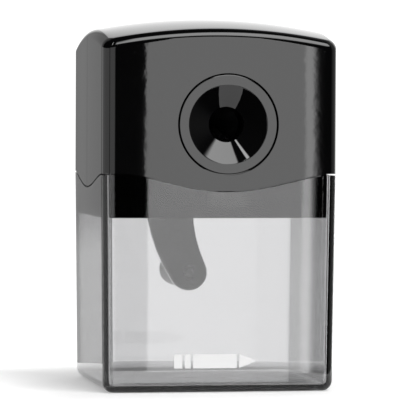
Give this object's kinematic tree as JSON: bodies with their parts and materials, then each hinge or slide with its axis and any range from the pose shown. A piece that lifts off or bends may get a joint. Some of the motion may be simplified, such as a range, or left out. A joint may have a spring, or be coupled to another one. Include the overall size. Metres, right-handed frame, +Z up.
{
  "type": "pencil sharpener",
  "caption": "Hand-crank desk pencil sharpener: a glossy dark upper housing with a round pencil funnel sits on a clear shavings container, with the crank at the back.",
  "frame": {"origin": "middle of the container's flat underside, directly under the middle of the body", "axes": "+X right as seen by the user, +Y from the pencil hole back to the crank, +Z up"},
  "size_m": [0.0576, 0.0788, 0.09],
  "materials": {
    "gloss_black": "glossy black ABS",
    "smoke_clear": "clear smoke-grey plastic, polished",
    "matt_black": "moulded black nylon",
    "grey_plastic": "moulded light grey plastic",
    "white_plastic": "natural white acetal",
    "steel": "plated or machined steel",
    "bronze": "thrust washer bronze"
  },
  "bodies": {
    "container": {"shavings_container": "smoke_clear"},
    "upper": {"front_housing": "gloss_black", "rear_housing": "gloss_black", "pencil_guide": "gloss_black", "mechanism_frame": "matt_black", "ring_gear": "white_plastic", "ring_screw_left": "steel", "ring_screw_right": "steel", "frame_screw_front_left": "steel", "frame_screw_front_right": "steel", "frame_screw_rear_left": "steel", "frame_screw_rear_right": "steel", "rear_bush": "matt_black"},
    "crank": {"cutter_carrier": "matt_black", "cutter_pin": "steel", "cutter_washer_front": "bronze", "cutter_washer_rear": "bronze", "crank_shaft": "steel", "shaft_clip": "steel", "shaft_washer": "steel", "crank_arm": "gloss_black", "crank_screw": "steel", "knob_pin": "steel"},
    "cutter": {"helical_cutter": "steel", "cutter_pinion": "steel"},
    "knob": {"crank_knob": "grey_plastic"}
  },
  "joints": [
    {"name": "lift_off", "type": "slide", "parent": "container", "child": "upper", "axis": [0, 0, 1], "range_m": [0, 0.02]},
    {"name": "crank_turn", "type": "hinge", "parent": "upper", "child": "crank", "pos_m": [0.0017, 0, 0.0642], "axis": [0, 1, 0], "continuous": true},
    {"name": "cutter_turn", "type": "hinge", "parent": "crank", "child": "cutter", "pos_m": [0.0017, -0.01163, 0.05613], "axis": [0, 0.9816, 0.1908], "continuous": true},
    {"name": "knob_turn", "type": "hinge", "parent": "crank", "child": "knob", "pos_m": [0.0017, 0.035, 0.0262], "axis": [0, 1, 0], "continuous": true}
  ],
  "couplings": [
    {"joint": "cutter_turn", "follows": "crank_turn", "ratio": -3.3333}
  ]
}
